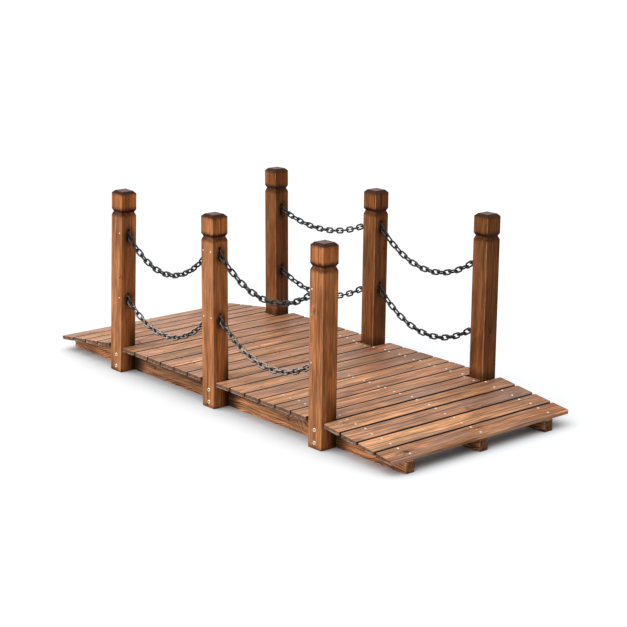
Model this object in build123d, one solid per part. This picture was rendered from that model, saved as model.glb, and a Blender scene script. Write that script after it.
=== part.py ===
from build123d import *
import math
import os

# A low garden footbridge. Twenty-three planks lie across three beams that rest flat on the
# ground, and three notched posts stand on each side, screwed to the outer beams. Two chains
# hang from post to post on each side, an upper and a lower one, each held in a slot by a nail.
#
# Millimetres. X runs along the walk, Y across it to the left, and Z up. The origin is on the
# ground under the middle of the deck. Right is the -Y side, and bays are counted along +X.

# Deck
PLANK_WIDTH = 62.0
PLANK_GAP = 4.3
PLANK_THICKNESS = 11.0
PLANK_CORNER = 4.0
DECK_WIDTH = 680.0
DECK_HEIGHT = 78.5
RAMP_PLANKS = 4
RAMP_GAP = 5.3
RAMP_DROP = 34.5
BAY_PLANKS = 6
BAYS = 2

# Beams
BEAM_THICKNESS = 30.0
BEAM_PAST_DECK = 2.5
MIDDLE_BEAM_Y = -3.0

# Posts
POST_SIZE = 54.0
POST_HEIGHT = 560.0
POST_ARRIS = 1.5
POST_ROW_WIDTH = 667.0
POST_SHIFT_X = 7.0
POST_SHIFT_Y = -10.0
POST_PLANK_CLEARANCE = 0.8
HEAD_HEIGHT = 55.0
HEAD_CHAMFER = 8.0
GROOVE_DEPTH = 5.0
GROOVE_ABOVE = 9.0
GROOVE_BELOW = 12.0

# Degrees by which the posts on a loosely screwed side lean along the walk, towards +X if positive
POST_LEANS = {
    ("right", 1): 2.4,
    ("right", 2): -0.4,
    ("left", 1): -0.9,
    ("left", 3): -0.4,
}

# Chains: welded links of round wire, drawn with a five-sided section of the same area
WIRE_DIAMETER = 4.5
WIRE_SIDES = 5
LINK_INNER_LENGTH = 24.8
LINK_INNER_WIDTH = 9.0
BOW_SIDES = 3
# Between two links there is at least the first gap and at most the second
LINK_GAPS = (0.45, 0.95)

# Heights of the chain nails on the end posts and on the middle posts
NAIL_HEIGHTS = {
    "upper": (435.0, 456.0),
    "lower": (235.0, 266.0),
}

# How far each chain hangs below the straight line between its two nails. A whole number of
# links has to fit, so a chain comes as near to its figure as the gaps between links allow.
SAGS = {
    ("right", "upper", 1): 96.0,
    ("right", "lower", 1): 92.0,
    ("right", "upper", 2): 87.0,
    ("right", "lower", 2): 81.0,
    ("left", "upper", 1): 48.0,
    ("left", "lower", 1): 70.0,
    ("left", "upper", 2): 90.0,
    ("left", "lower", 2): 90.0,
}

# Nails that pin the end links, drawn six-sided, and the slots that take those links
NAIL_DIAMETER = 3.0
NAIL_SIDES = 6
NAIL_DEPTH = 42.0
NAIL_INSET = 10.0
NAIL_FIT = 0.05
SECOND_LINK_PLAY = 0.5
SLOT_WIDTH = 12.0
SLOT_PLAY = 1.5
SLOT_HEADROOM = 3.0

# Sizes worked out from the values above
plank_pitch = PLANK_WIDTH + PLANK_GAP
ramp_pitch = PLANK_WIDTH + RAMP_GAP
flat_planks = BAYS * BAY_PLANKS + BAYS + 1
plank_count = flat_planks + 2 * RAMP_PLANKS
deck_length = flat_planks * plank_pitch - PLANK_GAP + 2 * RAMP_PLANKS * ramp_pitch
ramp_start = flat_planks * plank_pitch / 2
ramp_run = deck_length / 2 - ramp_start
ramp_angle = math.degrees(math.atan2(RAMP_DROP, ramp_run))
beam_height = DECK_HEIGHT - PLANK_THICKNESS
beam_end = deck_length / 2 + BEAM_PAST_DECK
beam_end_height = beam_height - RAMP_DROP * (beam_end - ramp_start) / ramp_run
post_spacing = (BAY_PLANKS + 1) * plank_pitch
post_y = (POST_ROW_WIDTH - POST_SIZE) / 2
beam_y = post_y - POST_SIZE / 2 - BEAM_THICKNESS / 2
wire_radius = WIRE_DIAMETER / 2 * math.sqrt(
    math.pi / (WIRE_SIDES / 2 * math.sin(2 * math.pi / WIRE_SIDES))
)
wire_inner = wire_radius * math.cos(math.pi / WIRE_SIDES)
link_half_width = LINK_INNER_WIDTH / 2 + wire_inner + wire_radius

# A nail sits no deeper than lets the second link, which lies flat, hang clear of the post
rise_between_posts = max(abs(middle - end) for end, middle in NAIL_HEIGHTS.values())
steepest_hang = math.atan2(4 * max(SAGS.values()) + rise_between_posts, post_spacing - POST_SIZE)
second_link = LINK_INNER_LENGTH - LINK_GAPS[1] - NAIL_DIAMETER / 2 - wire_inner - wire_radius
second_link_reach = second_link * math.cos(steepest_hang) - wire_radius * math.sin(steepest_hang)
nail_inset = min(NAIL_INSET, second_link_reach - SECOND_LINK_PLAY)


def post_x(number, lean):
    """Where post 1, 2 or 3 of a row stands: off centre, as far as the next plank allows."""
    reach = POST_SIZE / 2 + max(DECK_HEIGHT * math.tan(math.radians(lean)), 0)
    room = plank_pitch - PLANK_WIDTH / 2 - POST_PLANK_CLEARANCE - reach
    return min(POST_SHIFT_X, room) + (number - 1 - BAYS / 2) * post_spacing


def nail_x(face):
    """How far along the walk a nail is from its post's middle; face is -1 or 1 along X."""
    return face * (POST_SIZE / 2 - nail_inset)


def post_place(side, number):
    """Where a post stands and how it leans, resting on its lowest edge."""
    row = -post_y if side == "right" else post_y
    lean = POST_LEANS.get((side, number), 0)
    lift = POST_SIZE / 2 * math.sin(math.radians(abs(lean)))
    return Pos(post_x(number, lean), POST_SHIFT_Y + row, lift) * Rot(0, lean, 0)


# Deck and beams


def plank(length):
    """A board with its four corners taken off, lying across the walk with its underside at Z 0."""
    board = Box(PLANK_WIDTH, length, PLANK_THICKNESS, align=(Align.CENTER, Align.CENTER, Align.MIN))
    return chamfer(board.edges().filter_by(Axis.Z), PLANK_CORNER)


def plank_at(index):
    """Plank 0 is in the middle. The outermost ones lie on the sloping ends of the beams."""
    last_flat = flat_planks // 2
    if abs(index) > last_flat:
        out = last_flat * plank_pitch + (abs(index) - last_flat) * ramp_pitch
        down = (out - ramp_start) * RAMP_DROP / ramp_run
        place = Pos(math.copysign(out, index), 0, beam_height - down)
        return place * Rot(0, math.copysign(ramp_angle, index), 0) * plank(DECK_WIDTH)
    x = index * plank_pitch
    if (index + (BAY_PLANKS + 1) * (BAYS % 2) / 2) % (BAY_PLANKS + 1):
        return Pos(x, 0, beam_height) * plank(DECK_WIDTH)
    between_posts = POST_ROW_WIDTH - 2 * POST_SIZE - 2 * POST_PLANK_CLEARANCE
    return Pos(x, POST_SHIFT_Y, beam_height) * plank(between_posts)


def beam(y):
    """Flat underneath, level along the posts, and falling to a low end under each ramp."""
    outline = Polyline(
        (-beam_end, 0),
        (beam_end, 0),
        (beam_end, beam_end_height),
        (ramp_start, beam_height),
        (-ramp_start, beam_height),
        (-beam_end, beam_end_height),
        close=True,
    )
    return Pos(0, y, 0) * extrude(Plane.XZ * make_face(outline), BEAM_THICKNESS / 2, both=True)


# Chains


def link():
    """One link in the XY plane, its length along X: a bar of constant section round a closed path."""
    bow_radius = LINK_INNER_WIDTH / 2 + wire_inner
    half_turn = math.pi / BOW_SIDES / 2
    bow_centre = LINK_INNER_LENGTH / 2 + wire_inner - bow_radius * math.cos(half_turn)
    corners = []
    for end in (0, 1):
        for step in range(BOW_SIDES + 1):
            angle = math.pi * end - math.pi / 2 + step * math.pi / BOW_SIDES
            x = bow_centre * (1 - 2 * end) + bow_radius * math.cos(angle)
            corners.append((x, bow_radius * math.sin(angle)))
    section = []
    for step in range(WIRE_SIDES):
        angle = 2 * math.pi * step / WIRE_SIDES
        section.append((wire_radius * math.cos(angle), wire_radius * math.sin(angle)))
    rings = [mitred_section(corners, number, section) for number in range(len(corners))]
    faces = []
    for here, there in zip(rings, rings[1:] + rings[:1]):
        for step in range(WIRE_SIDES):
            after = (step + 1) % WIRE_SIDES
            quad = [here[step], there[step], there[after], here[after]]
            faces.append(Face(Wire.make_polygon(quad, close=True)))
    return Solid(Shell(faces))


def mitred_section(corners, number, section):
    """The section's points in the mitre plane at one corner of the path."""
    corner = Vector(*corners[number])
    before = (corner - Vector(*corners[number - 1])).normalized()
    after = (Vector(*corners[(number + 1) % len(corners)]) - corner).normalized()
    along = (before + after).normalized()
    outward = Vector(along.Y, -along.X) / along.dot(before)
    return [corner + outward * out + Vector(0, 0, up) for out, up in section]


def hanging_slopes(lengths, span, rise):
    """Slopes of a chain of equal weights: the tangent grows by the same step at each link."""

    def reach(step, lowest, part):
        return sum(
            size * part(math.atan(step * (number - lowest)))
            for number, size in enumerate(lengths)
        )

    def lowest_for(step):
        low, high = -len(lengths), 2 * len(lengths)
        for _ in range(60):
            middle = (low + high) / 2
            if reach(step, middle, math.sin) > rise:
                low = middle
            else:
                high = middle
        return low

    slack, tight = 2.0, 1e-4
    for _ in range(60):
        step = (slack + tight) / 2
        if reach(step, lowest_for(step), math.cos) < span:
            slack = step
        else:
            tight = step
    return [math.atan(step * (number - lowest_for(step))) for number in range(len(lengths))]


def chain_line(side, level, bay, sag):
    """A chain's first nail, its spacing from link to link, and its links' lengths and slopes."""
    from_end_post = bay % 2 == 1
    heights = NAIL_HEIGHTS[level] if from_end_post else NAIL_HEIGHTS[level][::-1]
    start = (post_place(side, bay) * Pos(nail_x(1), 0, heights[0])).position
    end = (post_place(side, bay + 1) * Pos(nail_x(-1), 0, heights[1])).position
    span, rise = end.X - start.X, end.Z - start.Z
    hanging_length = span * (1 + 8 / 3 * (sag / span) ** 2) + rise**2 / (2 * span)
    longest, shortest = [LINK_INNER_LENGTH - gap for gap in LINK_GAPS]
    count = round((hanging_length + NAIL_DIAMETER) / ((longest + shortest) / 2))
    spacing = min(max((hanging_length + NAIL_DIAMETER) / count, shortest), longest)
    lengths = [spacing] * count
    lengths[0] = lengths[-1] = spacing - NAIL_DIAMETER / 2
    return start, spacing, lengths, hanging_slopes(lengths, span, rise)


def chain(line):
    """Links turned a quarter at a time, with a little twist where both end links must stand."""
    point, spacing, lengths, slopes = line
    count = len(lengths)
    quarter_turns = count - 1 + (count - 1) % 2
    turn = math.radians(90 * quarter_turns / (count - 1))
    links = []
    for number, (length, slope) in enumerate(zip(lengths, slopes)):
        along = Vector(math.cos(slope), 0, math.sin(slope))
        point += along * length
        back = spacing / 2 if number < count - 1 else spacing / 2 - NAIL_DIAMETER / 2
        across = Vector(0, 1, 0)
        normal = across * math.cos(number * turn) + along.cross(across) * math.sin(number * turn)
        place = Plane(origin=point - along * back, x_dir=along, z_dir=normal)
        links.append(place.location * link())
    return Compound(children=links)


# Posts


def slot(face, nail_height, slope):
    """A slot that takes an end link at that slope; face is -1 or 1 along X."""
    below = nail_inset * math.tan(slope) + link_half_width / math.cos(slope) + SLOT_PLAY
    above = link_half_width + SLOT_HEADROOM
    depth = nail_inset + link_half_width + SLOT_PLAY
    cutter = Box(depth, SLOT_WIDTH, below + above, align=(Align.MAX, Align.CENTER, Align.MIN))
    turned = cutter if face > 0 else Rot(0, 0, 180) * cutter
    return Pos(face * POST_SIZE / 2, 0, nail_height - below) * turned


def nail(play=0):
    """A shank along Y that starts at the outer face of a post on the right-hand side."""
    section = RegularPolygon(NAIL_DIAMETER / 2 + play, NAIL_SIDES)
    return Pos(0, -POST_SIZE / 2, 0) * Rot(-90, 0, 0) * extrude(section, NAIL_DEPTH)


def nail_places(number):
    """Which faces of a post hold chains, and the nails' heights there."""
    faces = [face for face in (-1, 1) if 0 <= number - 1 + face <= BAYS]
    inner = number % 2 == 0
    heights = [NAIL_HEIGHTS[level][1 if inner else 0] for level in NAIL_HEIGHTS]
    return [(face, height) for face in faces for height in heights]


def post(number, slope):
    """One post of the right-hand row at the origin, its outer face towards -Y."""
    body = Box(POST_SIZE, POST_SIZE, POST_HEIGHT, align=(Align.CENTER, Align.CENTER, Align.MIN))
    body = chamfer(body.faces().sort_by(Axis.Z)[-1].edges(), HEAD_CHAMFER)
    body = chamfer(body.edges().filter_by(Axis.Z), POST_ARRIS)
    half = POST_SIZE / 2
    top = POST_HEIGHT - HEAD_HEIGHT
    valley = top - GROOVE_ABOVE
    profile = Polyline(
        (half, valley - GROOVE_BELOW),
        (half - GROOVE_DEPTH, valley),
        (half, top),
        close=True,
    )
    groove = extrude(Plane.XZ * make_face(profile), POST_SIZE, both=True)
    for quarter in range(4):
        body -= Rot(0, 0, 90 * quarter) * groove
    for face, height in nail_places(number):
        body -= slot(face, height, slope)
        body -= Pos(nail_x(face), 0, height) * nail(NAIL_FIT)
    return body


def nails(number):
    """The nails of that post, one through each end link."""
    return [
        Pos(nail_x(face), 0, height) * nail()
        for face, height in nail_places(number)
    ]


def stand(side, number, piece):
    """Puts a post or one of its nails in its row; the left row faces the other way."""
    faced = piece if side == "right" else mirror(piece, about=Plane.XZ)
    return post_place(side, number) * faced


def write(name, shape):
    export_step(shape, f"parts/{name}.step")


def main():
    os.makedirs("parts", exist_ok=True)
    first = -(plank_count // 2)
    for number in range(plank_count):
        write(f"plank_{number + 1:02d}", plank_at(first + number))
    write("beam_right", beam(POST_SHIFT_Y - beam_y))
    write("beam_middle", beam(MIDDLE_BEAM_Y))
    write("beam_left", beam(POST_SHIFT_Y + beam_y))
    lines = {name: chain_line(*name, sag) for name, sag in SAGS.items()}
    steepest = max(abs(slope) for line in lines.values() for slope in line[3])
    for (side, level, bay), line in lines.items():
        write(f"chain_{side}_{level}_{bay}", chain(line))
    for side in ("right", "left"):
        pinned = []
        for number in range(1, BAYS + 2):
            write(f"post_{side}_{number}", stand(side, number, post(number, steepest)))
            pinned += [stand(side, number, piece) for piece in nails(number)]
        write(f"chain_nails_{side}", Compound(children=pinned))


main()
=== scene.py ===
import math
from functools import reduce

import bmesh
import bpy
import numpy as np
from mathutils import Matrix, Vector


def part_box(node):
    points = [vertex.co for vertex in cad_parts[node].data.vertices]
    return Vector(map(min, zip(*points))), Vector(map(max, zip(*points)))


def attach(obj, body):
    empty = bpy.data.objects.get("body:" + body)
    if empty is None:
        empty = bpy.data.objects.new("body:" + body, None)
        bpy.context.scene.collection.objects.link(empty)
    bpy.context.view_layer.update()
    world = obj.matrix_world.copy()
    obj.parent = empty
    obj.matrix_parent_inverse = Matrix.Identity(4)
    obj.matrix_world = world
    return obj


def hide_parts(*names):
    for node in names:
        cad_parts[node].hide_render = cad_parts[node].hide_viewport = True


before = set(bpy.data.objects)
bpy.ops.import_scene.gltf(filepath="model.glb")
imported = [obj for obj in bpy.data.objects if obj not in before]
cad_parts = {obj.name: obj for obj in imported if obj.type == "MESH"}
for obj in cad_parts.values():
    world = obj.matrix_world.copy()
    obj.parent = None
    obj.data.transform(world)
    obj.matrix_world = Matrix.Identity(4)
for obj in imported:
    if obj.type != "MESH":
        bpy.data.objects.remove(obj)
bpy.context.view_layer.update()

# A low garden footbridge of stained softwood, with black chains hung between its posts.
# Metres. X runs along the walk, Y across it and Z up, as in the frame. Right is towards -Y.

scene = bpy.context.scene

# Camera, fitted to the photograph: angles in degrees, lens and sensor in millimetres
CAMERA_PLACE = (3.6699, -3.1303, 1.4860)
CAMERA_HEADING = 139.023
CAMERA_DIP = -14.707
CAMERA_ROLL = 0.681
CAMERA_LENS = 96.72
SENSOR_WIDTH = 36.0

# Lights: each sun's level, how wide it is in degrees, and where it shines from
SKY_LEVEL = 0.367
SUNS = {
    "key": (1.90, 70.0, (-0.15, -0.75, 0.85)),
    "top": (0.38, 90.0, (0.0, 0.0, 1.0)),
}

# Floor: it glows up to white, less so where something stands within the contact's reach, which
# paints a contact shadow. Its colour is bluer than its glow, so that painted shadow turns bluish.
FLOOR_COLOUR = (0.620, 0.676, 0.712)
FLOOR_GLOW = (0.470, 0.440, 0.428)
FLOOR_SHADOW_REACH = 0.16
CONTACT_SAMPLES = 16
FLOOR_RADIUS = 12.0
FLOOR_CORNERS = 64
FLOOR_DROP = 0.0003

# Edges of the boards, softened by sanding
BOARD_EDGE = 0.0010
POST_EDGE = 0.0006
EDGE_STEPS = 2
EDGE_ANGLE = 25.0
WELD_REACH = 1e-5

# Posts: heights are measured down from a head's flat top, and a slot's down from its nail
POST_SIZE = 0.054
HEAD_CHAMFER = 0.008
GROOVE_TOP = 0.055
GROOVE_BOTTOM = 0.076
SLOT_DROP = 0.010

# Chain: links of round wire, welded in the middle of one side. The wire is heavier than the
# frame's on the outside of a link only, so the links nest in the same way.
WIRE = 0.0052
LINK_INNER_LENGTH = 0.0248
LINK_INNER_WIDTH = 0.0090
LINK_STEPS = 36
WIRE_SIDES = 10
WELD_LENGTH = 0.0035
WELD_SWELL = 0.16

# Deck nails: where they stand along X from a plank's middle and towards +Y from a beam's,
# how far they keep from a plank's ends, and how far they stray from their row
DECK_NAIL_HEAD = 0.0078
DECK_NAIL_RISE = 0.0012
DECK_NAIL_OFFSETS = (-0.0235, 0.0150)
DECK_NAIL_ROWS = {"right": 0.0105, "middle": 0.0070, "left": 0.0165}
DECK_NAIL_INSET = 0.014
DECK_NAIL_SLIP = 0.003
SLIP_STEPS = (12.9, 4.1, 700)
DECK_NAIL_DRIFT = 0.004
DRIFT_STEPS = (7.7, 9.3, 300)
# The first plank whose nails over each beam are still bright
FIRST_BRIGHT_NAILS = {"right": 16, "middle": 15, "left": 9}

# Nails that pin the chains, and screws through the posts' feet
CHAIN_NAIL_HEAD = 0.0056
CHAIN_NAIL_RISE = 0.0010
NAIL_SIDES = 12
SCREW_HEAD = 0.0116
SCREW_RISE = 0.0020
SCREW_SOCKET = 0.0060
SCREW_SUNK = 0.0003
# The rounding of a screw's collar, as insets and shares of its rise
SCREW_ROUNDING = ((0.0, 0.4), (0.0006, 0.85), (0.0014, 1.0))
SOCKET_LIP = 0.0005
SOCKET_FLOOR = 0.0002
SOCKET_SLOPE = 0.0001
SCREW_SIDES = 24
SOCKET_SIDES = 6
SCREW_HEIGHTS = (0.017, 0.053)
SCREW_SHIFTS = {("right", 1): 0.0045, ("right", 2): 0.0045}
# Radians from post to post, and from the lower screw to the upper
SCREW_TURNS = (0.7, 1.1)


# Shader graphs


class Graph:
    """Adds shader nodes to a tree. A value is a number, a tuple or another node's output."""

    def __init__(self, tree):
        self.tree = tree

    def node(self, kind, inputs=(), **settings):
        """A new node with its settings, and its inputs fed by name or number."""
        node = self.tree.nodes.new("ShaderNode" + kind)
        for name, value in settings.items():
            setattr(node, name, value)
        for socket, value in dict(inputs).items():
            self.feed(node.inputs[socket], value)
        return node

    def feed(self, socket, value):
        if isinstance(value, bpy.types.NodeSocket):
            self.tree.links.new(value, socket)
        else:
            socket.default_value = value

    def math(self, operation, *values, clamp=False):
        node = self.node("Math", enumerate(values), operation=operation, use_clamp=clamp)
        return node.outputs[0]

    def plus(self, *values):
        return reduce(lambda a, b: self.math("ADD", a, b), values)

    def minus(self, a, b):
        return self.math("SUBTRACT", a, b)

    def times(self, *values):
        return reduce(lambda a, b: self.math("MULTIPLY", a, b), values)

    def over(self, a, b):
        return self.math("DIVIDE", a, b)

    def size(self, value):
        return self.math("ABSOLUTE", value)

    def greater(self, a, b):
        return self.math("MAXIMUM", a, b)

    def vector(self, operation, *values):
        return self.node("VectorMath", enumerate(values), operation=operation).outputs["Vector"]

    def scaled(self, vector, by):
        return self.vector("MULTIPLY", vector, by)

    def length(self, vector):
        return self.node("VectorMath", {0: vector}, operation="LENGTH").outputs["Value"]

    def dot(self, a, b):
        return self.node("VectorMath", {0: a, 1: b}, operation="DOT_PRODUCT").outputs["Value"]

    def split(self, vector):
        return self.node("SeparateXYZ", {0: vector}).outputs

    def join(self, x, y, z):
        return self.node("CombineXYZ", enumerate((x, y, z))).outputs[0]

    def noise(self, vector, stretch, seed, detail=2.0, output="Fac"):
        """Noise from 0 to 1 with so many features to the metre along each axis."""
        place = self.vector("ADD", self.scaled(vector, stretch), seed)
        node = self.node("TexNoise", {"Vector": place, "Scale": 1.0, "Detail": detail})
        return node.outputs[output]

    def centred(self, noise, reach):
        """Noise from 0 to 1 made to run about zero, with so much between its ends."""
        return self.times(self.minus(noise, 0.5), reach)

    def centred_vector(self, noise, reach):
        return self.scaled(self.vector("SUBTRACT", noise, (0.5, 0.5, 0.5)), reach)

    def ease(self, value, low, high, to_low=0.0, to_high=1.0):
        """A smooth step from one number to another while a value goes from low to high."""
        inputs = {"Value": value, "From Min": low, "From Max": high}
        inputs |= {"To Min": to_low, "To Max": to_high}
        return self.node("MapRange", inputs, interpolation_type="SMOOTHSTEP").outputs["Result"]

    def mix(self, factor, a, b, mode="MIX"):
        node = self.node("Mix", {0: factor, 6: a, 7: b}, data_type="RGBA", blend_type=mode)
        return node.outputs[2]

    def tint(self, tone, by):
        """A colour multiplied by another one."""
        return self.mix(1.0, tone, by, "MULTIPLY")

    def shade(self, tone, factor):
        """A colour made lighter or darker by a factor."""
        return self.tint(tone, self.join(factor, factor, factor))


def new_group(name, inputs, outputs):
    """An empty node group, with a graph to fill it, its inputs and the sockets of its outputs."""
    tree = bpy.data.node_groups.new(name, "ShaderNodeTree")
    for direction, sockets in (("INPUT", inputs), ("OUTPUT", outputs)):
        for socket, kind in sockets.items():
            tree.interface.new_socket(socket, in_out=direction, socket_type="NodeSocket" + kind)
    start = tree.nodes.new("NodeGroupInput")
    end = tree.nodes.new("NodeGroupOutput")
    return tree, Graph(tree), start.outputs, end.inputs


def new_material(name):
    """An empty material and a graph to fill it."""
    material = bpy.data.materials.new(name)
    material.use_nodes = True
    material.node_tree.nodes.clear()
    return material, Graph(material.node_tree)


def set_surface(g, shader):
    g.feed(g.node("OutputMaterial").inputs["Surface"], shader.outputs[0])


def colour(red, green, blue):
    """A linear colour from sRGB red, green and blue on the usual scale of 0 to 255."""
    linear = []
    for level in (red, green, blue):
        share = level / 255
        linear.append(share / 12.92 if share <= 0.04045 else ((share + 0.055) / 1.055) ** 2.4)
    return (*linear, 1.0)


# Timber

# A knot: its outline's ripples to the metre and their size, how much longer it is than wide,
# how far it trails along the grain, and how it pushes the grain aside
KNOT_RIPPLES = (160, 160, 160)
KNOT_RAGGEDNESS = (0.012, 0.012, 0.012)
KNOT_STRETCH = (1.0, 1.0, 0.7)
KNOT_TRAIL = (1.0, 1.0, 0.22)
KNOT_FADE = -0.22
KNOT_PUSH = 1.5

# Growth rings: how wide they are, how far they sway, and how often along each axis
RING_WIDTH = 0.0046
RING_SWAY = (0.022, 0.022, 0.0)
WANDER = (11, 11, 2.6)
# A figure winds the rings this often along each axis
FIGURE = (9, 9, 7)
# Features to the metre across the grain, twice, and along it
FIBRES = (420, 420, 9)
BANDS = (70, 70, 2.2)
CLOUDS = (22, 22, 6)
LINES = (190, 190, 2.6)
PATCHES = (26, 26, 4.5)
PATCHES_SEED = (3, 9, 4)
FLECK_TONE_AND_SHEEN = (170, 170, 17)
PORES = (900, 900, 900)
BLOTCHES = (110, 110, 110)
GRAIN_RELIEF = 0.0004
GRAIN_STRENGTH = 0.6

KNOT_BROWN = colour(62, 32, 18)
CUT_RING_BROWN = colour(48, 26, 14)
END_GRAIN = (116, 80, 60)


def knot_group():
    """One knot: how much of it shows at a point, and how far it pushes the grain aside."""
    tree, g, start, end = new_group(
        "knot",
        {"Point": "Vector", "Centre": "Vector", "Radius": "Float"},
        {"Core": "Float", "Push": "Float"},
    )
    offset = g.vector("SUBTRACT", start["Point"], start["Centre"])
    ripple = g.noise(start["Point"], KNOT_RIPPLES, (0, 0, 0), 2.0, "Color")
    ripple = g.centred_vector(ripple, KNOT_RAGGEDNESS)
    ragged = g.vector("ADD", g.scaled(offset, KNOT_STRETCH), ripple)
    reach = g.over(g.length(ragged), start["Radius"])
    trail = g.over(g.length(g.scaled(ragged, KNOT_TRAIL)), start["Radius"])
    core = g.ease(reach, 0.4, 1.2, 1.0, 0.0)
    g.feed(end["Core"], g.greater(core, g.ease(trail, 0.2, 1.3, 0.45, 0.0)))
    fade = g.math("EXPONENT", g.times(reach, reach, KNOT_FADE))
    g.feed(end["Push"], g.times(fade, start["Radius"], KNOT_PUSH))
    return tree


def timber_group():
    """Softwood with its grain along Z: growth rings about a pith, fibres, stain and weathering.

    Noise runs mostly from 0.3 to 0.7, so the eases here and below say which part of it counts.
    """
    tree, g, start, end = new_group(
        "timber",
        {
            "Point": "Vector",
            "Facing": "Vector",
            "Seed": "Vector",
            "Pith": "Vector",
            "Push": "Float",
            "Knot": "Float",
            "Light": "Color",
            "Dark": "Color",
            "Worn": "Color",
            "Wear": "Float",
            "Contrast": "Float",
            "Streaks": "Float",
            "Cut": "Color",
        },
        {"Color": "Color", "Roughness": "Float", "Height": "Float"},
    )
    point, seed = start["Point"], start["Seed"]

    # late wood darkens each ring towards its outside, more in some years than in others
    sway = g.centred_vector(g.noise(point, WANDER, seed, 1.0, "Color"), RING_SWAY)
    from_pith = g.scaled(g.vector("SUBTRACT", point, start["Pith"]), (1, 1, 0))
    radius = g.plus(g.length(g.vector("ADD", from_pith, sway)), start["Push"])
    rings = g.over(radius, RING_WIDTH)
    phase = g.math("FRACT", rings)
    year = g.math("FLOOR", rings)
    vigour = g.node("TexWhiteNoise", {"W": year}, noise_dimensions="1D").outputs["Value"]
    late = g.times(g.ease(phase, 0.25, 0.85), g.ease(phase, 1.0, 0.92))
    late = g.times(late, g.ease(vigour, 0.0, 1.0, 0.35, 1.0))

    fibres = g.noise(point, FIBRES, seed, 3.0)
    bands = g.noise(point, BANDS, seed)
    cloud = g.noise(point, CLOUDS, seed, 3.0)
    lines = g.noise(point, LINES, seed)
    patches = g.noise(point, PATCHES, g.vector("ADD", seed, PATCHES_SEED), 3.0)
    fleck_tone_and_sheen = g.noise(point, FLECK_TONE_AND_SHEEN, seed, 3.0)

    # long faces
    darkness = g.times(late, g.times(start["Contrast"], 0.75))
    darkness = g.plus(darkness, g.ease(bands, 0.42, 0.72, 0.0, 0.6))
    darkness = g.math("ADD", darkness, g.ease(fibres, 0.5, 0.75, 0.0, 0.35), clamp=True)
    wood = g.mix(darkness, start["Light"], start["Dark"])
    wood = g.shade(wood, g.ease(fibres, 0.25, 0.6, 0.86, 1.08))
    wood = g.shade(wood, g.ease(cloud, 0.3, 0.7, 0.78, 1.2))
    # Flecks lighten and darken the colour at random: tone, and painted sheen on raised grain
    wood = g.shade(wood, g.ease(fleck_tone_and_sheen, 0.3, 0.7, 0.72, 1.34))
    wear = g.times(g.ease(patches, 0.48, 0.62), start["Wear"])
    wood = g.mix(wear, wood, start["Worn"])
    dark_line = g.times(g.ease(lines, 0.56, 0.68), start["Streaks"])
    wood = g.mix(dark_line, wood, g.shade(start["Dark"], 0.45))
    wood = g.mix(g.times(start["Knot"], 0.85), wood, KNOT_BROWN)

    # sawn ends
    across = g.size(g.split(start["Facing"])[2])
    cut = g.ease(across, 0.75, 0.95)
    pores = g.noise(point, PORES, seed, 1.0)
    blotches = g.noise(point, BLOTCHES, seed, 3.0)
    end_grain = g.shade(start["Cut"], g.ease(pores, 0.3, 0.7, 0.75, 1.25))
    end_grain = g.shade(end_grain, g.ease(blotches, 0.35, 0.65, 0.55, 1.5))
    end_grain = g.mix(g.times(late, 0.5), end_grain, CUT_RING_BROWN)
    g.feed(end["Color"], g.mix(cut, wood, end_grain))

    rough = g.plus(g.ease(darkness, 0.0, 1.0, 0.60, 0.50), g.times(wear, 0.08))
    rough = g.plus(rough, g.ease(cloud, 0.35, 0.65, 0.08, -0.08))
    g.feed(end["Roughness"], g.math("ADD", rough, g.times(cut, 0.3), clamp=True))
    g.feed(end["Height"], g.plus(g.times(late, 0.5), g.times(fibres, 0.6)))
    return tree


KNOT = knot_group()
TIMBER = timber_group()
# The axes that are the timber's X, Y and Z when its grain runs along one of the frame's
GRAIN_ORDERS = {"X": (1, 2, 0), "Y": (0, 2, 1), "Z": (0, 1, 2)}
# A board's number times these, kept under 50, is its place in the noise
SEED_STEPS = (7.31, 3.17, 5.73)
SEED_SPAN = 50


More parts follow.
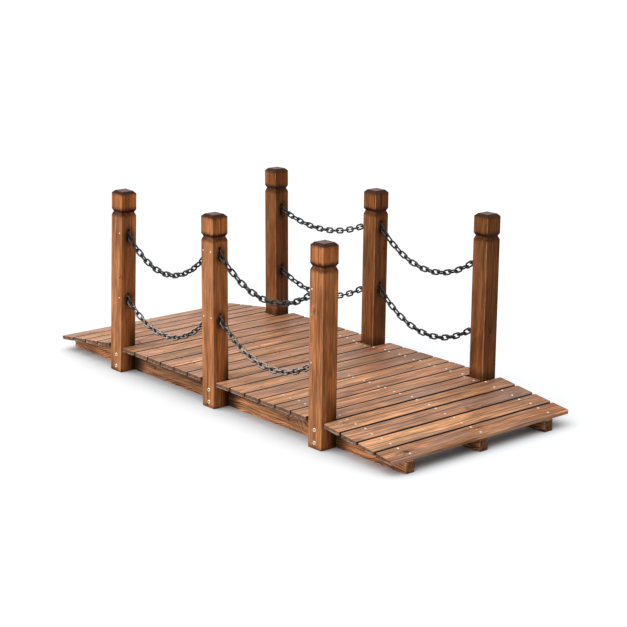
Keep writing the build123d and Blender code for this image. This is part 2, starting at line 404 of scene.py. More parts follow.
class Wood:
    """The material of one wooden piece: x, y and z run from its centre, point along its grain."""

    def __init__(self, name, grain, centre, number, lean=0.0):
        self.material, self.graph = new_material(name)
        g = self.graph
        here = g.node("TexCoord").outputs["Object"]
        x, y, z = g.split(g.vector("SUBTRACT", here, tuple(centre)))
        if lean:
            x = g.minus(x, g.times(z, lean))
        self.x, self.y, self.z = x, y, z
        self.normal = g.split(g.node("NewGeometry").outputs["Normal"])
        order = GRAIN_ORDERS[grain]
        self.point = g.join(*((x, y, z)[axis] for axis in order))
        self.facing = g.join(*(self.normal[axis] for axis in order))
        self.seed = tuple(number * step % SEED_SPAN for step in SEED_STEPS)

    def build(self, tones, pith, knots=(), figure=0.0):
        """Grows the wood about a pith, with knots, and a figure: how far its grain winds."""
        g = self.graph
        push, core = 0.0, 0.0
        if figure:
            push = g.times(self.noise(FIGURE, 1.0), figure)
        for centre, radius in knots:
            inputs = {"Point": self.point, "Centre": centre, "Radius": radius}
            knot = self.group(KNOT, inputs)
            push = g.plus(knot["Push"], push)
            core = g.greater(knot["Core"], core)
        inputs = {"Point": self.point, "Facing": self.facing, "Seed": self.seed, "Pith": pith}
        self.timber = self.group(TIMBER, {**inputs, "Push": push, "Knot": core, **tones})
        self.colour = self.timber["Color"]

    def group(self, tree, inputs):
        """The outputs of a node group whose inputs are fed."""
        node = self.graph.node("Group", node_tree=tree)
        for name, value in inputs.items():
            self.graph.feed(node.inputs[name], value)
        return node.outputs

    def noise(self, stretch, detail=3.0):
        return self.graph.noise(self.point, stretch, self.seed, detail)

    def cover(self, share, tone):
        """Lays another tone over a share of the colour."""
        self.colour = self.graph.mix(share, self.colour, tone)

    def shade(self, factor):
        self.colour = self.graph.shade(self.colour, factor)

    def finish(self, shine):
        """The finished material, with the grain's relief and so much shine."""
        g = self.graph
        inputs = {"Strength": GRAIN_STRENGTH, "Distance": GRAIN_RELIEF}
        bump = g.node("Bump", {**inputs, "Height": self.timber["Height"]})
        surface = g.node(
            "BsdfPrincipled",
            {
                "Base Color": self.colour,
                "Roughness": self.timber["Roughness"],
                "Specular IOR Level": shine,
                "Normal": bump.outputs["Normal"],
            },
        )
        set_surface(g, surface)
        return self.material


def stain(light, dark, worn, wear, contrast, streaks, cut=END_GRAIN):
    """What a board's stain feeds the timber: its tones, and how much of each trait it shows."""
    return {
        "Light": colour(*light),
        "Dark": colour(*dark),
        "Worn": colour(*worn),
        "Wear": wear,
        "Contrast": contrast,
        "Streaks": streaks,
        "Cut": colour(*cut),
    }


def dress(node, material, edge):
    """Puts a material on a piece of the frame and softens its edges."""
    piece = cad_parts[node]
    piece.data.materials.clear()
    piece.data.materials.append(material)
    weld = piece.modifiers.new("weld", "WELD")
    weld.merge_threshold = WELD_REACH
    bevel = piece.modifiers.new("edges", "BEVEL")
    bevel.width = edge
    bevel.segments = EDGE_STEPS
    bevel.limit_method = "ANGLE"
    bevel.angle_limit = math.radians(EDGE_ANGLE)


def middle(node):
    """The middle of a piece's box."""
    low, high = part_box(node)
    return (low + high) / 2


# How much the surfaces shine: worn boards more than stained posts
DECK_SHINE = 0.6
LAST_PLANK_SHINE = 0.15
BEAM_SHINE = 0.2
POST_SHINE = 0.08


# Deck

# The two stains of the deck, tuned to averages measured over patches of the photograph. They
# take turns along it.
DECK_STAINS = {
    "tan": stain((224, 160, 108), (153, 92, 54), (166, 133, 106), 0.45, 1.1, 1.0),
    "rose": stain((218, 154, 110), (146, 88, 58), (172, 136, 116), 0.6, 1.0, 1.0),
}
DECK_TURNS = ("tan", "rose")
# How light the planks are at their right-hand and left-hand ends, and what their colour is
# multiplied by there: painted sheen at the right-hand ends, painted shade at the left-hand ends.
# These are round numbers near the averages of levels that were tuned to measurements of the
# photograph. How far one plank differs from another comes from a sine.
RIGHT_SHEEN_LIGHTNESS = 1.05
LEFT_SHADE_LIGHTNESS = 0.75
RIGHT_SHEEN_TINT = (1.0, 1.05, 1.1)
LEFT_SHADE_TINT = (1.0, 0.95, 0.9)
LIGHTNESS_SPREAD = 0.15
# By what steps of a sine they differ
RIGHT_STEPS = (2.9,)
LEFT_STEPS = (5.3,)
# Where along Y the painted sheen of the right-hand end gives way to the painted shade of the
# left-hand end
DECK_SHEEN_TO_SHADE = (-0.10, 0.32)
# Knots by plank: place across the plank, down from its middle and along it, with a radius
DECK_KNOTS = {
    16: (((0.012, 0.005, 0.20), 0.006),),
    20: (((-0.008, 0.005, -0.285), 0.007),),
    21: (((0.014, 0.005, 0.12), 0.005),),
    23: (((0.004, 0.005, -0.262), 0.009), ((-0.012, 0.005, 0.02), 0.005)),
}
# The pith lies under a plank, at a depth and to a side that change with the plank's number
PITH_SIDE = 0.05
PITH_SIDE_STEP = 2.4
PITH_DEPTHS = (-0.03, -0.05)
PITH_DEPTH_STEP = 0.37
# Painted shadow in the gaps, on the sides that face a neighbour: where it deepens along Y, from the
# right-hand ends inwards, how much, and its tone
GAP_SHADOW_FADE = (-0.335, -0.30)
GAP_SHADOW_DEPTH = (0.53, 0.97)
GAP_SHADOW_BLACK = colour(22, 9, 4)
# Painted shade darkens the long edges beside a gap, from the first of these distances from a
# plank's middle on
ARRIS_REACH = (0.0280, 0.0304)
ARRIS_SHARE = 0.85
GAP_EDGE_SHADE = colour(44, 20, 10)
# Sawn ends are rubbed pale low down: from the first of these heights over a plank's middle on
RUBBED_HEIGHTS = (-0.0020, -0.0042)
RUBBED_NOISE = (160, 160, 160)
RUBBED_PALE = colour(206, 176, 154)


def shade_and_wear_plank(wood, near_sheen, far_shade, free):
    """Paints sheen on a plank's right-hand end, shade on its left and shadow beside the gaps.

    The free side, towards +X or -X, is 1 or -1 on the planks that end the deck, and gets no painted
    shadow.
    """
    g = wood.graph

    def towards_neighbour(value):
        return g.times(value, -free) if free else g.size(value)

    # Painted sheen on the right-hand end, giving way to painted shade on the left-hand end
    sheen_tint = (*(near_sheen * share for share in RIGHT_SHEEN_TINT), 1.0)
    shade_tint = (*(far_shade * share for share in LEFT_SHADE_TINT), 1.0)
    wood.colour = g.tint(wood.colour, g.mix(g.ease(wood.y, *DECK_SHEEN_TO_SHADE), sheen_tint, shade_tint))

    # Painted shadow on the sides that face into a gap, lighter near the open right-hand ends
    side = g.ease(towards_neighbour(wood.normal[0]), 0.3, 0.7)
    wood.cover(g.times(side, g.ease(wood.y, *GAP_SHADOW_FADE, *GAP_SHADOW_DEPTH)), GAP_SHADOW_BLACK)
    # Painted shade along the top's long edges beside a gap, which widens the dark seams
    arris = g.ease(towards_neighbour(wood.x), *ARRIS_REACH)
    wood.cover(g.times(arris, ARRIS_SHARE), GAP_EDGE_SHADE)

    sawn = g.ease(wood.normal[1], -0.75, -0.95)
    low = g.ease(wood.z, *RUBBED_HEIGHTS)
    ragged = g.ease(wood.noise(RUBBED_NOISE, 2.0), 0.35, 0.6, 0.1, 0.7)
    wood.cover(g.times(sawn, low, ragged), RUBBED_PALE)


def planks():
    """The planks' nodes, along the deck."""
    return sorted(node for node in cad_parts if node.startswith("plank_"))


def deck():
    """The planks, each of its own timber, with tones that vary by rule."""
    count = len(planks())
    for number, node in enumerate(planks(), 1):
        name = DECK_TURNS[number % len(DECK_TURNS)]
        near_sheen = RIGHT_SHEEN_LIGHTNESS + LIGHTNESS_SPREAD * scatter(RIGHT_STEPS, number)
        far_shade = LEFT_SHADE_LIGHTNESS + LIGHTNESS_SPREAD * scatter(LEFT_STEPS, number)
        wood = Wood(node, "Y", middle(node), number)
        least, spread = PITH_DEPTHS
        depth = least + spread * (number * PITH_DEPTH_STEP % 1)
        pith = (PITH_SIDE * math.sin(number * PITH_SIDE_STEP), depth, 0.0)
        wood.build(DECK_STAINS[name], pith, DECK_KNOTS.get(number, ()))
        free = {1: -1, count: 1}.get(number, 0)
        shade_and_wear_plank(wood, near_sheen, far_shade, free)
        dress(node, wood.finish(LAST_PLANK_SHINE if free > 0 else DECK_SHINE), BOARD_EDGE)


# Beams

# The beams' stain, tuned to averages measured over patches of the photograph
BEAM_STAIN = stain((216, 148, 98), (84, 44, 22), (120, 88, 66), 0.4, 1.4, 0.5, (108, 70, 44))
BEAM_SEED = 40
BEAM_PITH = (0.012, -0.055, 0.0)
BEAM_FIGURE = 0.09
# Knots: place across the beam, up from its middle and along it, with a radius
BEAM_KNOTS = (
    ((-0.015, 0.008, 0.165), 0.008),
    ((-0.015, -0.006, 0.30), 0.007),
    ((-0.015, -0.004, -0.33), 0.007),
)
# Up a beam's side from its middle, the shade goes from the first factor to the second: painted
# shadow under the planks' overhang, with some dirt
BEAM_RAGGED = (40, 40, 9)
BEAM_WAVER = 0.03
BEAM_HEIGHTS = (-0.006, 0.024)
BEAM_HEIGHT_SHADES = (1.25, 0.48)
# The right beam is lighter towards the near end of the bridge
BEAM_ENDS = (-0.15, 0.15)
BEAM_END_SHADES = (0.86, 1.35)
# The corner beside a post's face towards +X: how far along the beam its painted shade reaches
CORNER_REACH = (0.09, 0.0)
CORNER_START = (-0.02, -0.01)
CORNER_SHADE = 0.12
HIDDEN_BEAM_SHADE = 0.75


def beams():
    """The three beams, of one stain."""
    for number, side in enumerate(("right", "middle", "left")):
        node = f"beam_{side}"
        wood = Wood(node, "X", middle(node), BEAM_SEED + number)
        wood.build(BEAM_STAIN, BEAM_PITH, BEAM_KNOTS, BEAM_FIGURE)
        shade_beam(wood, side)
        dress(node, wood.finish(BEAM_SHINE), BOARD_EDGE)


def shade_beam(wood, side):
    """Dirt and painted shadow under the planks along a beam's top, and painted shade in the corners
    by the posts.
    """
    g = wood.graph
    # Darker towards the top: painted shadow under the planks' overhang, with dirt
    height = g.plus(wood.z, g.centred(wood.noise(BEAM_RAGGED), BEAM_WAVER))
    wood.shade(g.ease(height, *BEAM_HEIGHTS, *BEAM_HEIGHT_SHADES))
    # The middle and left beams are darker all over: painted shade under the deck
    if side != "right":
        wood.shade(HIDDEN_BEAM_SHADE)
        return
    wood.shade(g.ease(wood.x, *BEAM_ENDS, *BEAM_END_SHADES))
    for number in (1, 2, 3):
        # Painted shade in the corner beside each post
        beside = g.minus(wood.x, foot_of(f"post_right_{number}") + POST_SIZE / 2)
        corner = g.times(g.ease(beside, *CORNER_REACH), g.ease(beside, *CORNER_START))
        wood.shade(g.ease(corner, 0.0, 1.0, 1.0, CORNER_SHADE))


# Posts

POST_SEED = 60
# A post's pith: how far it strays along each axis, by what steps from post to post, and its shift
POST_PITH_REACH = (0.03, 0.05)
POST_PITH_STEPS = (2.1, 1.7)
POST_PITH_SHIFT = 0.03
# One stain for each row of posts, rounded from tones tuned to averages measured over patches
# of the photograph
POST_STAINS = {
    "right": stain((205, 135, 85), (145, 85, 50), (160, 115, 85), 0.3, 0.6, 0.4),
    "left": stain((150, 95, 55), (100, 60, 30), (120, 85, 55), 0.3, 0.8, 0.5),
}
POSTS = [(side, number) for side in ("right", "left") for number in (1, 2, 3)]
# What the colour of every post's face towards +X is multiplied by, as painted shade, and that of
# every head
# These are round numbers near the averages of tints that were tuned to such measurements.
SHADED_FACE_TINT = (0.75, 0.65, 0.5, 1.0)
HEAD_TINT = (1.1, 1.0, 0.85, 1.0)
# Knots by post: place from the post's middle, with a radius
POST_KNOTS = {
    ("right", 1): (((0.022, -0.024, 0.02), 0.006),),
    ("right", 3): (((-0.006, -0.025, 0.098), 0.005), ((0.025, 0.006, -0.072), 0.004)),
    ("left", 2): (((0.024, 0.012, 0.10), 0.007),),
    ("left", 3): (((0.025, 0.0, -0.06), 0.006),),
}
# Drying cracks in the heads' faces towards +X: place across the face, and half width
HEAD_CRACKS = {("left", 2): (-0.004, 0.004), ("left", 3): (-0.019, 0.0025)}
CRACK_SHARE = 0.8

# Scorching, down from the head's top: how it wavers, and where each part begins and is full
RAGGED = (260, 260, 30)
SMOKE = (90, 90, 60)
BURN_RAGGED = 0.008
BURN_SMOKE = 0.010
HEAD_ENDS = (GROOVE_TOP + 0.002, GROOVE_TOP - 0.002)
SCORCH_WIDTH = 0.010
SCORCH_PAST = 0.002
SCORCH_SHARE = 0.6
CHAR_BEGINS = (GROOVE_TOP - 0.004, GROOVE_TOP + 0.003)
CHAR_ENDS = (GROOVE_BOTTOM + 0.006, GROOVE_BOTTOM - 0.004)
SLANT_ENDS = (HEAD_CHAMFER + 0.004, HEAD_CHAMFER)
FLAT_ENDS = (0.004, 0.001)
WORN_HIGHLIT_ARRIS = colour(206, 150, 104)
CRACK_BROWN = colour(42, 16, 6)
SCORCH_BROWN = colour(56, 32, 16)
CHAR_BROWN = colour(60, 26, 6)
SLANT_TONES = (colour(42, 26, 18), colour(82, 53, 38))
FLAT_TOP_SKY_REFLECTION = (colour(112, 92, 88), colour(150, 124, 116))

# Dirt round the chain slots, and painted shade at the foot and in the corner with the beam under
# the
# planks: how high the shade climbs, where it fills the corner, and the dirt round the slots
DIRT_AND_SHADE_NOISE = (60, 60, 60)
FOOT_SHADE_WAVER = 0.02
RIGHT_FOOT_SHADE = (0.014, 0.0)
LEFT_FOOT_SHADE = (0.112, 0.085)
FOOT_SHADE_SHARE = 0.6
SHADE_AND_DIRT_SHARE = 0.95
NOOK_HEIGHTS = (0.19, 0.07)
NOOK_PLACES = (-0.022, 0.024)
DIRT_AND_SHADE_BROWN = colour(40, 24, 12)
# Height counts for less than width about a slot, so the dirt stands upright
SLOT_HEIGHT_SHARE = 0.6
SLOT_WAVER = 0.012
SMUDGE_REACH = (0.030, 0.011)
# A dark disc round each slot: painted shade of a deeper hole
HOLE_REACH = (0.0150, 0.0110)
HOLE_SHADE_BLACK = colour(10, 7, 5)
# A face towards +X begins and is full at these shares of its normal
END_FACE = (0.6, 0.85)
# How close to a post's top or foot a corner lies to count as part of it
CORNER_NEAR = 0.003


def lean_of(node):
    """How far a post's head stands along the walk from its foot, for each metre of height."""
    places = np.array([vertex.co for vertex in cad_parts[node].data.vertices])
    heights = places[:, 2]
    top = places[heights > heights.max() - CORNER_NEAR]
    foot = places[heights < heights.min() + CORNER_NEAR]
    return (top[:, 0].mean() - foot[:, 0].mean()) / (heights.max() - heights.min())


def foot_of(node):
    """Where a post's foot stands along the walk."""
    low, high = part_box(node)
    return (low.x + high.x - lean_of(node) * (high.z - low.z)) / 2


def char_post(wood, top, post):
    """Tones and chars the heads, and paints shade towards +X and in the groove, a sky reflection on
    top and pale arrises.
    """
    g = wood.graph
    down = g.minus(top, wood.z)
    ragged = wood.noise(RAGGED, 2.0)
    smoke = wood.noise(SMOKE)
    upward = wood.normal[2]
    end_face = g.ease(wood.normal[0], *END_FACE)
    head = g.ease(down, *HEAD_ENDS)

    wood.cover(head, g.tint(wood.colour, HEAD_TINT))
    # The faces towards +X are darkened: painted shade on the side away from the key light
    wood.cover(end_face, g.tint(wood.colour, SHADED_FACE_TINT))

    # Pale long arrises: wear, and a painted highlight on the edges
    arris = g.times(g.size(wood.normal[0]), g.size(wood.normal[1]))
    wood.cover(g.times(g.ease(arris, 0.3, 0.45), g.ease(ragged, 0.4, 0.6, 0.35, 0.8)), WORN_HIGHLIT_ARRIS)
    if post in HEAD_CRACKS:
        place, width = HEAD_CRACKS[post]
        aside = g.size(g.minus(wood.y, place))
        wood.cover(g.times(g.ease(aside, width, 0.0), head, end_face, CRACK_SHARE), CRACK_BROWN)

    burn = g.plus(down, g.centred(ragged, BURN_RAGGED), g.centred(smoke, BURN_SMOKE))
    reach = (GROOVE_TOP - HEAD_CHAMFER) / 2
    to_edge = g.size(g.minus(burn, (HEAD_CHAMFER + GROOVE_TOP) / 2))
    scorch = g.ease(to_edge, reach - SCORCH_WIDTH, reach + SCORCH_PAST)
    wood.cover(g.times(scorch, head, SCORCH_SHARE), SCORCH_BROWN)
    # The groove is charred, and darker on its faces that look down: painted shade
    in_groove = g.times(g.ease(burn, *CHAR_BEGINS), g.ease(burn, *CHAR_ENDS))
    underside_shade = g.ease(upward, 0.1, -0.3, 0.0, 0.6)
    depth = g.math("ADD", g.ease(smoke, 0.35, 0.65, 0.55, 0.85), underside_shade, clamp=True)
    wood.cover(g.times(in_groove, depth), CHAR_BROWN)

    slant = g.times(g.ease(upward, 0.3, 0.6), g.ease(down, *SLANT_ENDS))
    wood.cover(slant, g.mix(ragged, *SLANT_TONES))
    # The flat top is mauve-grey: a painted reflection of the sky
    flat = g.times(g.ease(upward, 0.9, 0.98), g.ease(down, *FLAT_ENDS))
    wood.cover(flat, g.mix(ragged, *FLAT_TOP_SKY_REFLECTION))


def soil_and_shade_post(wood, foot, side, slots):
    """Painted shade at a post's foot, by the deck and in its corner with the beam, and dirt round
    its slots.
    """
    g = wood.graph
    uneven = wood.noise(DIRT_AND_SHADE_NOISE)
    rough_up = g.plus(g.minus(wood.z, foot), g.centred(uneven, FOOT_SHADE_WAVER))
    end_face = g.ease(wood.normal[0], *END_FACE)
    # Painted contact shade at the foot, and painted shade under the planks in the corner with the
    # beam
    if side == "right":
        dirt_and_shade = g.ease(rough_up, *RIGHT_FOOT_SHADE, 0.0, FOOT_SHADE_SHARE)
        inwards = g.ease(wood.y, *NOOK_PLACES, 0.0, SHADE_AND_DIRT_SHARE)
        dirt_and_shade = g.greater(dirt_and_shade, g.times(g.ease(rough_up, *NOOK_HEIGHTS), inwards, end_face))
    else:
        dirt_and_shade = g.ease(rough_up, *LEFT_FOOT_SHADE, 0.0, FOOT_SHADE_SHARE)
    hole_shade = 0.0
    for slot in slots:
        across = g.minus(wood.y, slot.y)
        along = g.times(g.minus(wood.z, slot.z), SLOT_HEIGHT_SHARE)
        reach = g.plus(g.length(g.join(across, along, 0.0)), g.times(uneven, SLOT_WAVER))
        smudge = g.ease(reach, *SMUDGE_REACH, 0.0, SHADE_AND_DIRT_SHARE)
        dirt_and_shade = g.greater(dirt_and_shade, g.times(smudge, end_face))
        # A dark disc round each slot: painted shade of the hole
        hole_shade = g.greater(hole_shade, g.times(g.ease(reach, *HOLE_REACH), end_face))
    wood.cover(dirt_and_shade, DIRT_AND_SHADE_BROWN)
    wood.cover(hole_shade, HOLE_SHADE_BLACK)


def chain_slots(node, side):
    """Middles of the chains' slots in a post's face towards +X, from the nails in it."""
    centre, high = middle(node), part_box(node)[1]
    row = middle(f"chain_{side}_upper_1").y
    slots = []
    for nail in islands(f"chain_nails_{side}"):
        place = Vector(((nail.min(0) + nail.max(0)) / 2).tolist())
        if centre.x < place.x < high.x:
            slots.append(Vector((place.x, row, place.z - SLOT_DROP)) - centre)
    return slots


def posts():
    """The six posts, each of its own timber with its row's stain, scorching, dirt and painted
    shade.
    """
    for index, (side, number) in enumerate(POSTS):
        node = f"post_{side}_{number}"
        centre = middle(node)
        wood = Wood(node, "Z", centre, POST_SEED + index, lean_of(node))
        (wide, deep), (turn, swing) = POST_PITH_REACH, POST_PITH_STEPS
        pith_y = POST_PITH_SHIFT + deep * math.sin(index * swing)
        pith = (wide * math.cos(index * turn), pith_y, 0.0)
        wood.build(POST_STAINS[side], pith, POST_KNOTS.get((side, number), ()))
        char_post(wood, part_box(node)[1].z - centre.z, (side, number))
        soil_and_shade_post(wood, -centre.z, side, chain_slots(node, side))
        dress(node, wood.finish(POST_SHINE), POST_EDGE)


# Metal

METAL_RELIEF = 0.0002
METAL_STRENGTH = 0.35
METAL_DETAIL = 3.0
PITS_TO_PATCH = 4
PATCH_SEED = (3, 5, 7)
PIT_SEED = (1, 8, 2)
ROUGHNESS_SPREAD = 0.15
# The direction that painted highlights face
HIGHLIGHT_FROM = (-0.45, -0.45, 0.77)


def metal(name, tone, dull, metallic, roughness, patches, highlight=None):
    """Metal or paint with uneven colour and gloss, with a painted highlight of another tone where
    it faces the light.
    """
    material, g = new_material(name)
    here = g.node("TexCoord").outputs["Object"]
    uneven = g.noise(here, (patches,) * 3, PATCH_SEED, METAL_DETAIL)
    pitted = g.noise(here, (patches * PITS_TO_PATCH,) * 3, PIT_SEED)
    inputs = {"Strength": METAL_STRENGTH, "Distance": METAL_RELIEF, "Height": pitted}
    bump = g.node("Bump", inputs)
    paint = g.mix(g.ease(uneven, 0.35, 0.65), tone, dull)
    if highlight:
        # Painted highlight on the sides that face the key light
        upward = g.dot(g.node("NewGeometry").outputs["Normal"], HIGHLIGHT_FROM)
        share = g.times(g.ease(upward, 0.4, 0.85), g.ease(uneven, 0.3, 0.6, 0.45, 1.0))
        paint = g.mix(share, paint, highlight)
    surface = g.node(
        "BsdfPrincipled",
        {
            "Base Color": paint,
            "Metallic": metallic,
            "Roughness": g.ease(uneven, 0.3, 0.7, roughness, roughness + ROUGHNESS_SPREAD),
            "Normal": bump.outputs["Normal"],
        },
    )
    set_surface(g, surface)
    return material


CHAIN_BLACK = metal(
    "chain_black", colour(4, 4, 5), colour(14, 14, 13), 0.1, 0.36, 160, colour(44, 44, 43)
)
CHAIN_WORN_HIGHLIT = metal(
    "chain_worn_highlit", colour(14, 14, 15), colour(40, 38, 36), 0.2, 0.32, 160, colour(200, 190, 182)
)
NAIL_STEEL = metal("nail_steel", colour(246, 240, 226), colour(224, 210, 186), 0.5, 0.35, 300)
NAIL_STAINED = metal("nail_stained", colour(176, 130, 98), colour(128, 86, 58), 0.0, 0.6, 300)
SCREW_STEEL = metal("screw_steel", colour(250, 238, 216), colour(226, 206, 176), 0.6, 0.3, 400)
# The socket's dark colour is painted shade in the recess
SOCKET_SHADE = metal("socket_shade", colour(70, 46, 26), colour(44, 28, 16), 0.0, 0.6, 400)


# Meshes


class Mesh:
    """Collects many small shapes into one mesh."""

    def __init__(self):
        self.points = []
        self.faces = []

    def add(self, points, faces, place):
        first = len(self.points)
        self.points += [place @ Vector(point) for point in points]
        self.faces += [tuple(first + corner for corner in face) for face in faces]

    def piece(self, name, material, slot, smooth=True):
        """The collected mesh as a piece of the visual model."""
        data = bpy.data.meshes.new(name)
        data.from_pydata(self.points, [], self.faces)
        data.materials.append(material)
        for polygon in data.polygons:
            polygon.use_smooth = smooth
        data.update()
        piece = bpy.data.objects.new(name, data)
        scene.collection.objects.link(piece)
        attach(piece, "root")
        return piece


def grid_faces(rows, columns, closed=False):
    """Quads of a grid of points that closes round its columns, and round its rows if asked."""
    faces = []
    for row in range(rows if closed else rows - 1):
        here, there = row * columns, (row + 1) % rows * columns
        for column in range(columns):
            after = (column + 1) % columns
            faces.append((here + column, here + after, there + after, there + column))
    return faces


def around(sides):
    """The angles of so many points about a circle."""
    return [2 * math.pi * side / sides for side in range(sides)]


# Chains

SAME_CORNER = 1e-6


def link_shape():
    """Points and faces of one link in the XY plane, its length along X."""
    bow = (LINK_INNER_WIDTH + WIRE) / 2
    straight = (LINK_INNER_LENGTH + WIRE) / 2 - bow
    perimeter = 4 * straight + 2 * math.pi * bow
    weld = Vector((0, -bow, 0))
    points = []
    for step in range(LINK_STEPS):
        half, walked = divmod(perimeter * step / LINK_STEPS, perimeter / 2)
        sign = 1 - 2 * half
        if walked < 2 * straight:
            outward = Vector((0, -sign, 0))
            core = Vector((sign * (walked - straight), -sign * bow, 0))
        else:
            turned_by = (walked - 2 * straight) / bow - math.pi / 2
            outward = Vector((math.cos(turned_by), math.sin(turned_by), 0)) * sign
            core = Vector((sign * straight, 0, 0)) + outward * bow
        from_weld = (core - weld).length / (WELD_LENGTH / 2)
        radius = WIRE / 2 * (1 + WELD_SWELL * math.exp(-(from_weld**2)))
        for angle in around(WIRE_SIDES):
            offset = outward * math.cos(angle) + Vector((0, 0, math.sin(angle)))
            points.append(core + offset * radius)
    return points, grid_faces(LINK_STEPS, WIRE_SIDES, closed=True)


def islands(node):
    """The corner points of each separate solid in a piece of the frame."""
    mesh = bmesh.new()
    mesh.from_mesh(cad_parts[node].data)
    bmesh.ops.remove_doubles(mesh, verts=mesh.verts, dist=SAME_CORNER)
    unseen = set(mesh.verts)
    groups = []
    for start in mesh.verts:
        if start not in unseen:
            continue
        unseen.discard(start)
        group, edge = [start], [start]
        while edge:
            vertex = edge.pop()
            for line in vertex.link_edges:
                other = line.other_vert(vertex)
                if other in unseen:
                    unseen.discard(other)
                    group.append(other)
                    edge.append(other)
        groups.append(np.array([vertex.co for vertex in group]))
    mesh.free()
    return groups


def long_axes(points):
    """A place at the points' middle with X along the longest of their main axes."""
    centre = points.mean(0)
    axes = np.linalg.svd(points - centre)[2]
    axes[2] = np.cross(axes[0], axes[1])
    turn = Matrix(axes.tolist()).transposed()
    return Matrix.Translation(Vector(centre)) @ turn.to_4x4()


def chains():
    """Round links in place of the frame's, with painted highlights, worn lighter on the lower
    chains of the near side.
    """
    shape = link_shape()
    for node in sorted(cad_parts):
        if not node.startswith("chain_") or "nails" in node:
            continue
        mesh = Mesh()
        for link in islands(node):
            mesh.add(*shape, long_axes(link))
        material = CHAIN_WORN_HIGHLIT if "right_lower" in node else CHAIN_BLACK
        piece = mesh.piece(f"{node}_links", material, "chain_steel")
        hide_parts(node)


# Nails and screws

# A domed head: its rings, as shares of its radius from the rim to the middle
DOME_RINGS = (1.0, 0.75, 0.5, 0.25, 0.0)


def turned(profile, sides):
    """A turned shape about Z from (radius, height) pairs that end on the axis."""
    points = []
    for radius, height in profile[:-1]:
        for angle in around(sides):
            points.append((radius * math.cos(angle), radius * math.sin(angle), height))
    points.append((0, 0, profile[-1][1]))
    rings = len(profile) - 1
    faces = grid_faces(rings, sides)
    last = (rings - 1) * sides
    for side in range(sides):
        faces.append((last + side, last + (side + 1) % sides, len(points) - 1))
    return points, faces


def dome(width, rise):
    """A domed head that sits on the XY plane, with its rim a little under it."""
    heights = [-rise] + [rise * math.sqrt(1 - share**2) for share in DOME_RINGS[1:]]
    profile = [(width / 2 * share, height) for share, height in zip(DOME_RINGS, heights)]
    return turned(profile, NAIL_SIDES)


def screw_shapes():
    """The rounded collar of a socket screw, and the socket in it, dark with painted shade."""
    rim, hole, rise = SCREW_HEAD / 2, SCREW_SOCKET / 2, SCREW_RISE
    collar = [(rim, -SCREW_SUNK)]
    collar += [(rim - inset, share * rise) for inset, share in SCREW_ROUNDING]
    collar += [(hole + SOCKET_LIP, rise), (hole, 0.8 * rise)]
    collar += [(hole, SOCKET_FLOOR), (0, SOCKET_FLOOR)]
    socket = [(hole, 0.0), (hole - SOCKET_SLOPE, 0.55 * rise), (0, 0.45 * rise)]
    return turned(collar, SCREW_SIDES), turned(socket, SOCKET_SIDES)


def facing_out(side):
    """Turns +Z to the outside of a row of posts."""
    return Matrix.Rotation(math.radians(90 if side == "right" else -90), 4, "X")


def scatter(steps, *counts):
    """A number from -1 to 1 that looks random and is the same in every run."""
    return math.sin(sum(count * step for count, step in zip(counts, steps)))


def deck_nails():
    """Two nails through each plank into each beam, strayed a little from their rows."""
    head = dome(DECK_NAIL_HEAD, DECK_NAIL_RISE)
    bright, stained = Mesh(), Mesh()
    for number, node in enumerate(planks(), 1):
        low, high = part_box(node)
        for side, row in DECK_NAIL_ROWS.items():
            y = middle(f"beam_{side}").y + row
            y = min(max(y, low.y + DECK_NAIL_INSET), high.y - DECK_NAIL_INSET)
            mesh = stained if number < FIRST_BRIGHT_NAILS[side] else bright
            for place, offset in enumerate(DECK_NAIL_OFFSETS):
                slip = DECK_NAIL_SLIP * scatter(SLIP_STEPS, number, place, row)
                drift = DECK_NAIL_DRIFT * scatter(DRIFT_STEPS, number, place, row)
                x = (low.x + high.x) / 2 + offset + slip
                mesh.add(*head, on_plank(node, x, y + drift))
    bright.piece("deck_nails", NAIL_STEEL, "nail_steel")
    stained.piece("stained_nails", NAIL_STAINED, "nail_steel")


def on_plank(node, x, y):
    """A place on the top face of a plank, turned with its slope."""
    top = max(
        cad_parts[node].data.polygons,
        key=lambda face: (round(face.normal.z, 3), face.center.z),
    )
    normal, centre = top.normal, top.center
    z = centre.z - (normal.x * (x - centre.x) + normal.y * (y - centre.y)) / normal.z
    turn = Vector((0, 0, 1)).rotation_difference(normal).to_matrix().to_4x4()
    return Matrix.Translation((x, y, z)) @ turn


def chain_nail_heads():
    """Heads on the outer ends of the nails that pin the chains."""
    head = dome(CHAIN_NAIL_HEAD, CHAIN_NAIL_RISE)
    mesh = Mesh()
    for side in ("right", "left"):
        for nail in islands(f"chain_nails_{side}"):
            centre = (nail.min(0) + nail.max(0)) / 2
            y = nail[:, 1].min() if side == "right" else nail[:, 1].max()
            place = Matrix.Translation((centre[0], y, centre[2])) @ facing_out(side)
            mesh.add(*head, place)
    mesh.piece("chain_nail_heads", NAIL_STEEL, "nail_steel")


def post_screws():
    """Two screws through each post into the outer beam, each turned a little further."""
    collar, socket = screw_shapes()
    collars, sockets = Mesh(), Mesh()
    for index, (side, number) in enumerate(POSTS):
        node = f"post_{side}_{number}"
        low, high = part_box(node)
        y = low.y if side == "right" else high.y
        lean = lean_of(node)
        foot = foot_of(node) + SCREW_SHIFTS.get((side, number), 0)
        for level, height in enumerate(SCREW_HEIGHTS):
            angle = index * SCREW_TURNS[0] + level * SCREW_TURNS[1]
            turn = Matrix.Rotation(angle, 4, "Z")
            place = Matrix.Translation((foot + lean * height, y, height)) @ facing_out(side) @ turn
            collars.add(*collar, place)
            sockets.add(*socket, place)
    collars.piece("post_screws", SCREW_STEEL, "nail_steel")
    sockets.piece("screw_sockets", SOCKET_SHADE, "nail_steel", smooth=False)


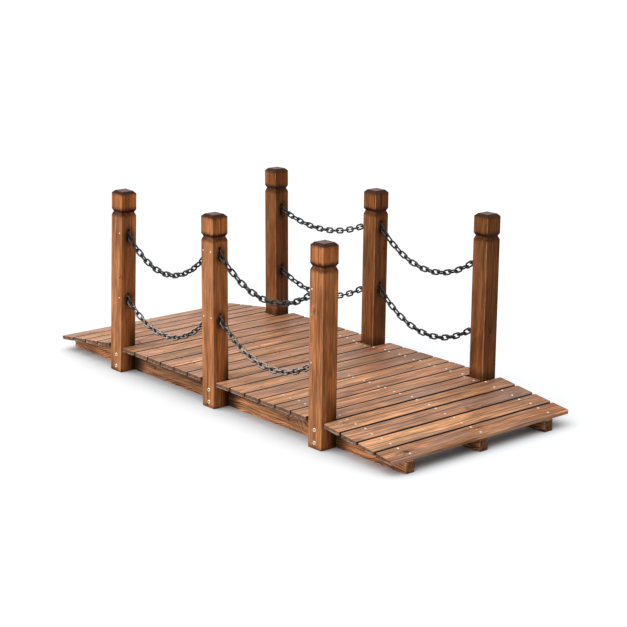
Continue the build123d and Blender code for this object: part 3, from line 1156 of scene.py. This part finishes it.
def nail_shanks():
    """Steel on the nails of the frame itself."""
    for side in ("right", "left"):
        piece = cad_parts[f"chain_nails_{side}"]
        piece.data.materials.clear()
        piece.data.materials.append(NAIL_STEEL)


# Studio


def seen_rays(g):
    """1 for the rays that see the background: camera, glossy and transmission rays."""
    rays = g.node("LightPath").outputs
    either = g.greater(rays["Is Camera Ray"], rays["Is Glossy Ray"])
    return g.greater(either, rays["Is Transmission Ray"])


def studio():
    """A white sky that lights less than it shows, and two broad suns."""
    world = bpy.data.worlds.new("studio")
    world.use_nodes = True
    world.node_tree.nodes.clear()
    scene.world = world
    g = Graph(world.node_tree)
    strength = g.ease(seen_rays(g), 0.0, 1.0, SKY_LEVEL, 1.0)
    sky = g.node("Background", {"Color": (1, 1, 1, 1), "Strength": strength})
    g.feed(g.node("OutputWorld").inputs["Surface"], sky.outputs["Background"])

    for name, (level, spread, origin) in SUNS.items():
        lamp = bpy.data.lights.new(name, "SUN")
        lamp.energy = level
        lamp.angle = math.radians(spread)
        light = bpy.data.objects.new(name, lamp)
        light.rotation_euler = Vector(origin).to_track_quat("Z", "Y").to_euler()
        scene.collection.objects.link(light)


def floor():
    """A matt floor whose white glow fades where the bridge stands close over it, as a painted
    contact shadow.
    """
    bpy.ops.mesh.primitive_circle_add(
        vertices=FLOOR_CORNERS, radius=FLOOR_RADIUS, fill_type="NGON"
    )
    ground = bpy.context.object
    ground.name = "floor"
    ground.location.z = -FLOOR_DROP
    material, g = new_material("floor_white")
    matt = g.node("BsdfDiffuse", {"Color": (*FLOOR_COLOUR, 1.0)})
    nearness = g.node("AmbientOcclusion", {"Distance": FLOOR_SHADOW_REACH}, samples=CONTACT_SAMPLES)
    # The glow dims with ambient occlusion near the bridge: a painted contact shadow
    glow_less_painted_shadow = g.times(seen_rays(g), g.ease(nearness.outputs["AO"], 0.1, 1.0))
    glow = g.node("Emission", {"Color": (*FLOOR_GLOW, 1.0), "Strength": glow_less_painted_shadow})
    set_surface(g, g.node("AddShader", {0: matt.outputs[0], 1: glow.outputs[0]}))
    ground.data.materials.append(material)


def camera():
    """The photograph's camera."""
    heading, dip, roll = map(math.radians, (CAMERA_HEADING, CAMERA_DIP, CAMERA_ROLL))
    flat = math.cos(dip)
    ahead = Vector((flat * math.cos(heading), flat * math.sin(heading), math.sin(dip)))
    level = ahead.cross(Vector((0, 0, 1))).normalized()
    upward = level.cross(ahead)
    right = level * math.cos(roll) + upward * math.sin(roll)
    above = upward * math.cos(roll) - level * math.sin(roll)
    turn = Matrix((right, above, -ahead)).transposed().to_4x4()
    data = bpy.data.cameras.new("camera")
    data.lens = CAMERA_LENS
    data.sensor_width = SENSOR_WIDTH
    eye = bpy.data.objects.new("camera", data)
    eye.matrix_world = Matrix.Translation(CAMERA_PLACE) @ turn
    scene.collection.objects.link(eye)
    scene.camera = eye


camera()
studio()
floor()
deck()
beams()
posts()
chains()
nail_shanks()
deck_nails()
chain_nail_heads()
post_screws()
scene.view_settings.view_transform = "Standard"
